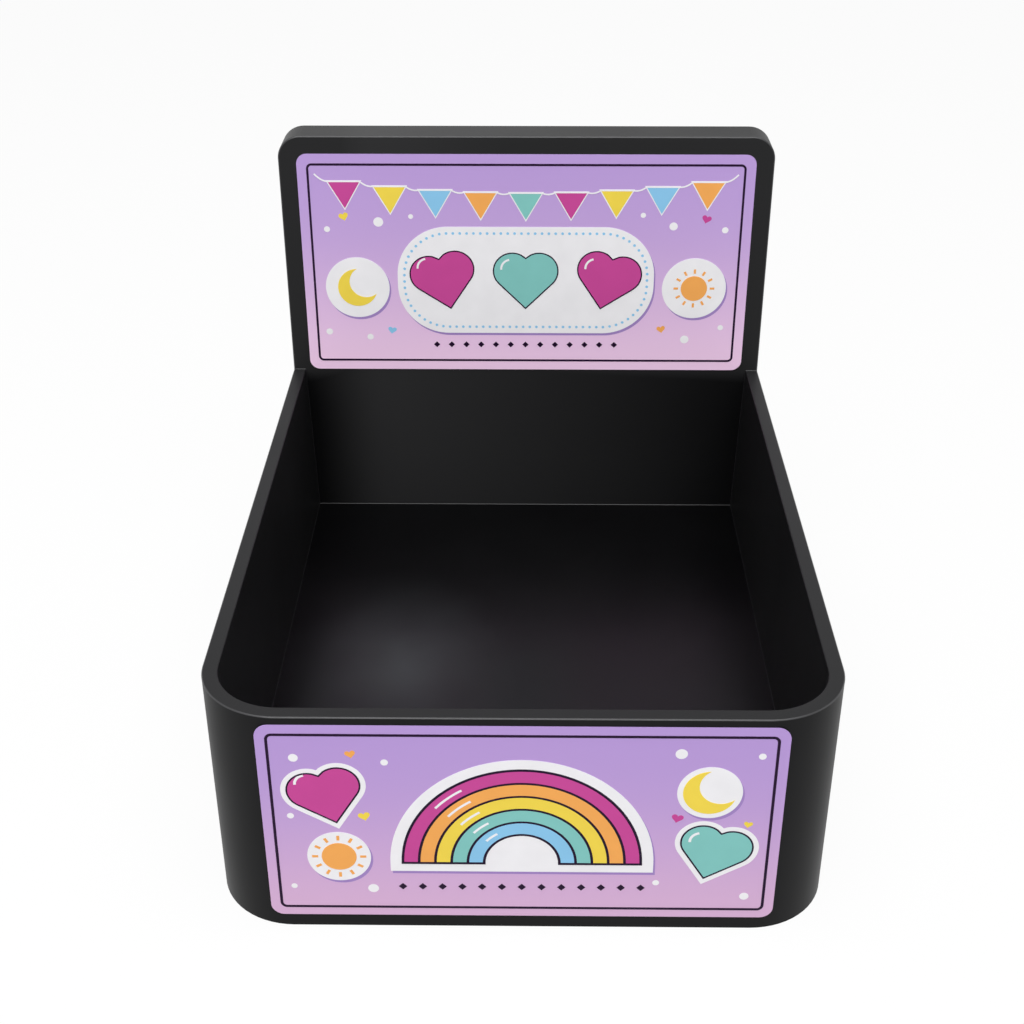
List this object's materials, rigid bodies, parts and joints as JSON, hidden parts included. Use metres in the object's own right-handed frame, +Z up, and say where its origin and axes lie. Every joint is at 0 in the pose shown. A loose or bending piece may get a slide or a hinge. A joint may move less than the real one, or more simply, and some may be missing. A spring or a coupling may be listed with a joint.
{
  "type": "counter display tray",
  "caption": "Black board display tray with bent front corners, a raised floor, a tall thick back board, and printed labels on the back board and the front.",
  "frame": {"origin": "bottom centre of the whole object's box, on the counter", "axes": "+Z up, +Y from the tray's front to its back board, +X to the right seen from the front"},
  "size_m": [0.254, 0.3296, 0.237],
  "materials": {
    "black_board": "matt black laminated board, smooth faces, folded and bent",
    "label_card": "satin printed card, lilac at the top turning to pink at the foot",
    "ink_white": "satin print, white",
    "ink_dark": "satin print, near black",
    "ink_magenta": "satin print, magenta",
    "ink_teal": "satin print, pale teal",
    "ink_sky": "satin print, sky blue",
    "ink_yellow": "satin print, yellow",
    "ink_orange": "satin print, orange"
  },
  "bodies": {
    "root": {"tray_wall": "black_board", "base_panel": "black_board", "back_panel": "black_board", "header_label": "label_card", "front_label": "label_card", "header_print_white": "ink_white", "header_print_dark": "ink_dark", "header_print_magenta": "ink_magenta", "header_print_teal": "ink_teal", "header_print_sky": "ink_sky", "header_print_yellow": "ink_yellow", "header_print_orange": "ink_orange", "front_print_white": "ink_white", "front_print_dark": "ink_dark", "front_print_magenta": "ink_magenta", "front_print_orange": "ink_orange", "front_print_yellow": "ink_yellow", "front_print_teal": "ink_teal", "front_print_sky": "ink_sky"}
  },
  "joints": []
}
